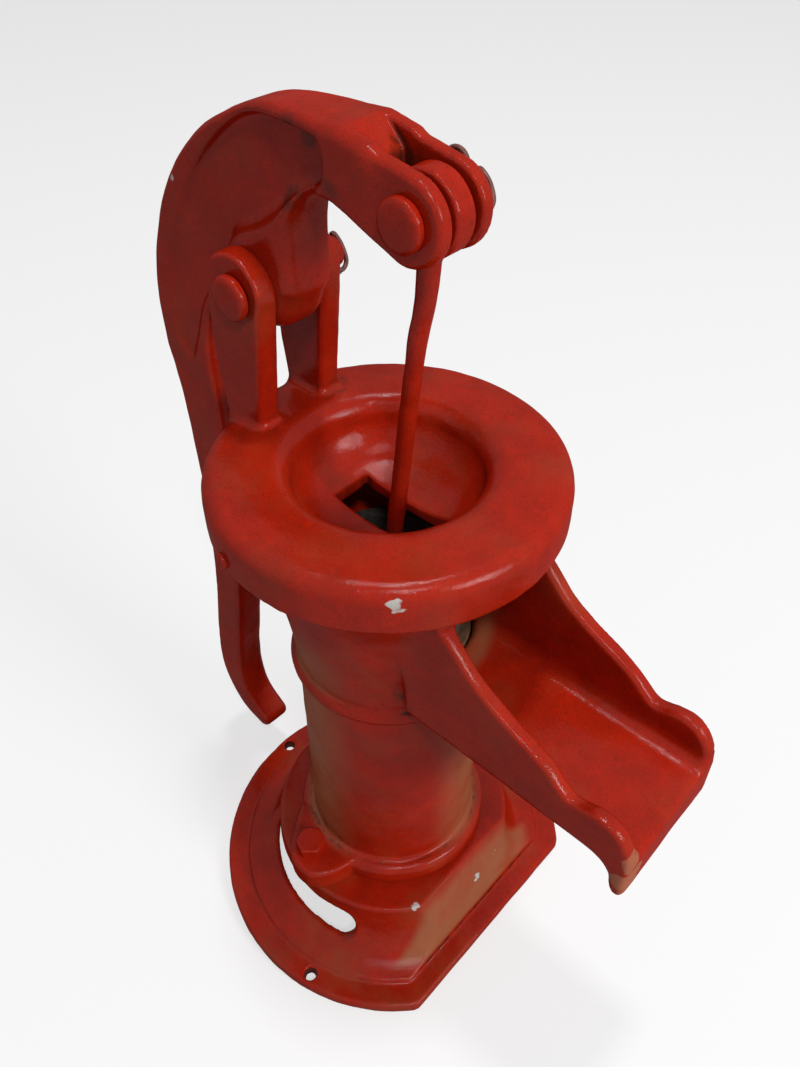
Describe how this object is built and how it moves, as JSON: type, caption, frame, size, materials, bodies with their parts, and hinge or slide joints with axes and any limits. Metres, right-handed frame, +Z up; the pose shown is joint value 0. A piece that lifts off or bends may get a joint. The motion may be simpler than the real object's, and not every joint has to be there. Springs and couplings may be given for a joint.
{
  "type": "pitcher pump",
  "caption": "Cast-iron hand water pump: flat-fronted base, barrel with open spout, bowl-topped cap with ears, and a curved lever that lifts a rod and plunger.",
  "frame": {"origin": "on the barrel axis, at the foot of the threaded suction hole and level with the floor under the base", "axes": "+Z up the barrel, +X along the spout, +Y along the hinge pins towards their split pins"},
  "size_m": [0.2895, 0.2, 0.422],
  "materials": {
    "red_enamel": "glossy red enamel over rough cast iron, chipped in places",
    "bare_iron": "bare dark cast iron",
    "steel": "dull steel with red overspray",
    "leather": "oiled leather"
  },
  "bodies": {
    "pump": {"base_casting": "red_enamel", "valve_leather": "leather", "valve_weight": "bare_iron", "body_casting": "red_enamel", "flange_bolt_near": "red_enamel", "flange_bolt_far": "red_enamel", "valve_screw": "steel", "cap_casting": "red_enamel", "set_screw": "steel", "fulcrum_pin": "red_enamel", "fulcrum_cotter": "steel"},
    "lever": {"handle_casting": "red_enamel", "rod_pin": "red_enamel", "rod_cotter": "steel"},
    "rod": {"piston_rod": "red_enamel", "wrist_pin": "steel"},
    "plunger": {"plunger_cage": "bare_iron", "plunger_poppet": "leather", "cup_leather": "leather", "plunger_follower": "bare_iron"}
  },
  "joints": [
    {"name": "handle_pivot", "type": "hinge", "parent": "pump", "child": "lever", "pos_m": [-0.056, 0, 0.356], "axis": [0, 1, 0], "range_deg": [0, 40]},
    {"name": "rod_pivot", "type": "hinge", "parent": "lever", "child": "rod", "pos_m": [0.02, 0, 0.403], "axis": [0, 1, 0], "range_deg": [-36, 0]},
    {"name": "plunger_slide", "type": "slide", "parent": "pump", "child": "plunger", "axis": [0, 0, -1], "range_m": [0, 0.058]}
  ],
  "couplings": [
    {"joint": "rod_pivot", "follows": "handle_pivot", "ratio": -0.863},
    {"joint": "plunger_slide", "follows": "handle_pivot", "m_per_rad": 0.0808}
  ]
}
